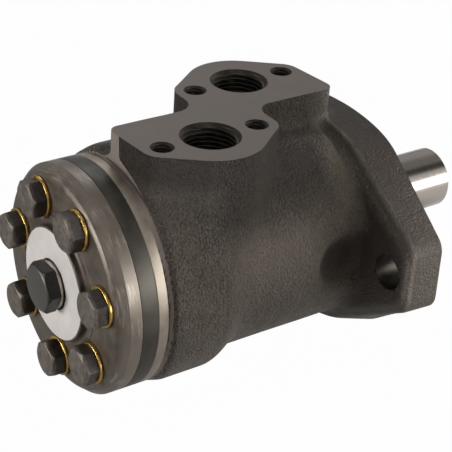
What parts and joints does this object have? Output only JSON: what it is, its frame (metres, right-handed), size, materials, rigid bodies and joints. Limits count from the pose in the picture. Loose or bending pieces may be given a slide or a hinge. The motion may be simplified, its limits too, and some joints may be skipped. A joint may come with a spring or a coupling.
{
  "type": "orbital hydraulic motor",
  "caption": "Slow-running hydraulic motor: oval mounting flange, keyed shaft, threaded ports on top, gerotor gear set and screwed end cover at the rear.",
  "frame": {"origin": "centre of the flange's mounting face, on the shaft axis", "axes": "+X along the shaft, out of the flange; +Z towards the port face; the mounting holes lie along Y"},
  "size_m": [0.1882, 0.13, 0.1013],
  "materials": {
    "cast_housing": "dark phosphated casting with machined faces",
    "bright_steel": "ground",
    "dark_steel": "dark satin",
    "gear_steel": "ground and hardened",
    "shaft_steel": "polished",
    "cover_steel": "turned",
    "screw_steel": "phosphated",
    "brass_washer": "yellow plated",
    "soft_metal": "plain",
    "blank_label": "satin film, no print",
    "black_rubber": "matt",
    "seal_plastic": "matt",
    "bearing_steel": "polished",
    "cage_brass": "stamped"
  },
  "bodies": {
    "motor_body": {"housing": "cast_housing", "distributor_plate": "bright_steel", "gerotor_ring": "dark_steel", "end_cover": "cover_steel", "cover_screws": "screw_steel", "screw_washers": "brass_washer", "drain_plug": "dark_steel", "plug_washer": "soft_metal", "label_disc": "blank_label", "housing_seal": "black_rubber", "plate_seal": "black_rubber", "cover_seal": "black_rubber", "shaft_seal": "black_rubber", "backup_ring": "seal_plastic", "dust_seal": "black_rubber", "front_race": "bearing_steel"},
    "shaft": {"output_shaft": "shaft_steel", "shaft_key": "gear_steel", "rear_race": "bearing_steel"},
    "needle_row": {"needle_cage": "cage_brass", "bearing_needles": "bearing_steel"},
    "spacer": {"drive_spacer": "gear_steel"},
    "star": {"gerotor_star": "gear_steel"},
    "cardan": {"cardan_shaft": "gear_steel"},
    "ball_1": {"check_ball_1": "bearing_steel"},
    "ball_2": {"check_ball_2": "bearing_steel"}
  },
  "joints": [
    {"name": "shaft_spin", "type": "hinge", "parent": "motor_body", "child": "shaft", "pos_m": [0, 0, 0], "axis": [1, 0, 0], "continuous": true},
    {"name": "needle_row_spin", "type": "hinge", "parent": "motor_body", "child": "needle_row", "pos_m": [-0.0181, 0, 0], "axis": [1, 0, 0], "continuous": true},
    {"name": "star_orbit", "type": "hinge", "parent": "motor_body", "child": "spacer", "pos_m": [-0.114, 0, 0], "axis": [1, 0, 0], "continuous": true},
    {"name": "star_spin", "type": "hinge", "parent": "spacer", "child": "star", "pos_m": [-0.11375, 0, -0.0034], "axis": [1, 0, 0], "continuous": true},
    {"name": "cardan_spin", "type": "hinge", "parent": "spacer", "child": "cardan", "pos_m": [-0.05, 0, 0], "axis": [0.9986, 0, 0.0533], "continuous": true},
    {"name": "ball_1_lift", "type": "slide", "parent": "motor_body", "child": "ball_1", "axis": [-1, 0, 0], "range_m": [0, 0.00115]},
    {"name": "ball_2_lift", "type": "slide", "parent": "motor_body", "child": "ball_2", "axis": [-1, 0, 0], "range_m": [0, 0.00115]}
  ],
  "couplings": [
    {"joint": "needle_row_spin", "follows": "shaft_spin", "ratio": 0.5},
    {"joint": "star_orbit", "follows": "shaft_spin", "ratio": -6},
    {"joint": "star_spin", "follows": "shaft_spin", "ratio": 7},
    {"joint": "cardan_spin", "follows": "shaft_spin", "ratio": 7}
  ]
}
